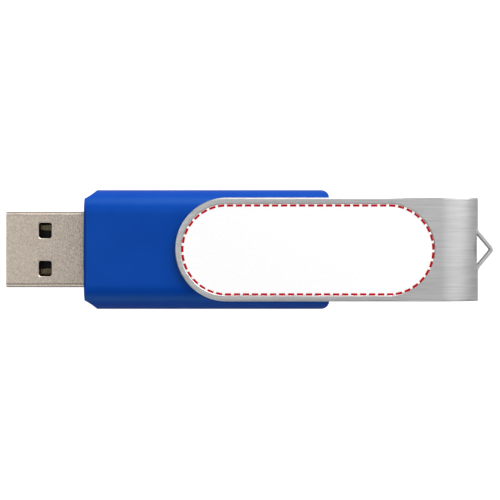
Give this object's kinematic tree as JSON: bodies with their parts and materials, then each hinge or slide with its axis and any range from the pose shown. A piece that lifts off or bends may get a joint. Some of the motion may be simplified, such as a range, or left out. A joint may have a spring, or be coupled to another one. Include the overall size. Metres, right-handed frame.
{
  "type": "swivel usb flash drive",
  "caption": "Flat rounded plastic flash drive with a bare USB-A plug, pivoting in a U-shaped metal clip that has a recessed stadium-shaped label and a lanyard loop.",
  "frame": {"origin": "on the resting face (the outside of the clip's rear arm), under the centre of the open drive's bounding box", "axes": "+X runs from the plug's tip to the closed end of the clip, +Z out of the label, +Y across the drive"},
  "size_m": [0.0776, 0.019, 0.0097],
  "materials": {
    "clip_metal": "brushed along its length",
    "label_print": "white print film with a dashed red outline",
    "shell_plastic": "satin moulded",
    "plug_metal": "satin nickel plate",
    "tongue_plastic": "satin moulded",
    "contact_metal": "gold plate",
    "board_laminate": "solder mask",
    "solder": "satin solder",
    "chip_plastic": "moulded resin",
    "lead_metal": "tin plate",
    "crystal_ceramic": "fired ceramic",
    "capacitor_ceramic": "fired ceramic"
  },
  "bodies": {
    "clip": {"swivel_clip": "clip_metal", "label": "label_print"},
    "drive": {"front_shell": "shell_plastic", "rear_shell": "shell_plastic", "plug_shell": "plug_metal", "plug_tongue": "tongue_plastic", "contact_power": "contact_metal", "contact_data_minus": "contact_metal", "contact_data_plus": "contact_metal", "contact_ground": "contact_metal", "circuit_board": "board_laminate", "plug_tab_solder": "solder", "contact_solder": "solder", "flash_chip": "chip_plastic", "flash_chip_leads": "lead_metal", "controller_chip": "chip_plastic", "controller_leads": "lead_metal", "crystal_base": "crystal_ceramic", "crystal_lid": "lead_metal", "regulator": "chip_plastic", "regulator_leads": "lead_metal", "capacitors": "capacitor_ceramic", "capacitor_ends": "lead_metal", "resistors": "chip_plastic", "resistor_ends": "lead_metal"}
  },
  "joints": [
    {"name": "swivel", "type": "hinge", "parent": "clip", "child": "drive", "pos_m": [-0.00365, 0, 0.00485], "axis": [0, 0, 1], "continuous": true}
  ]
}
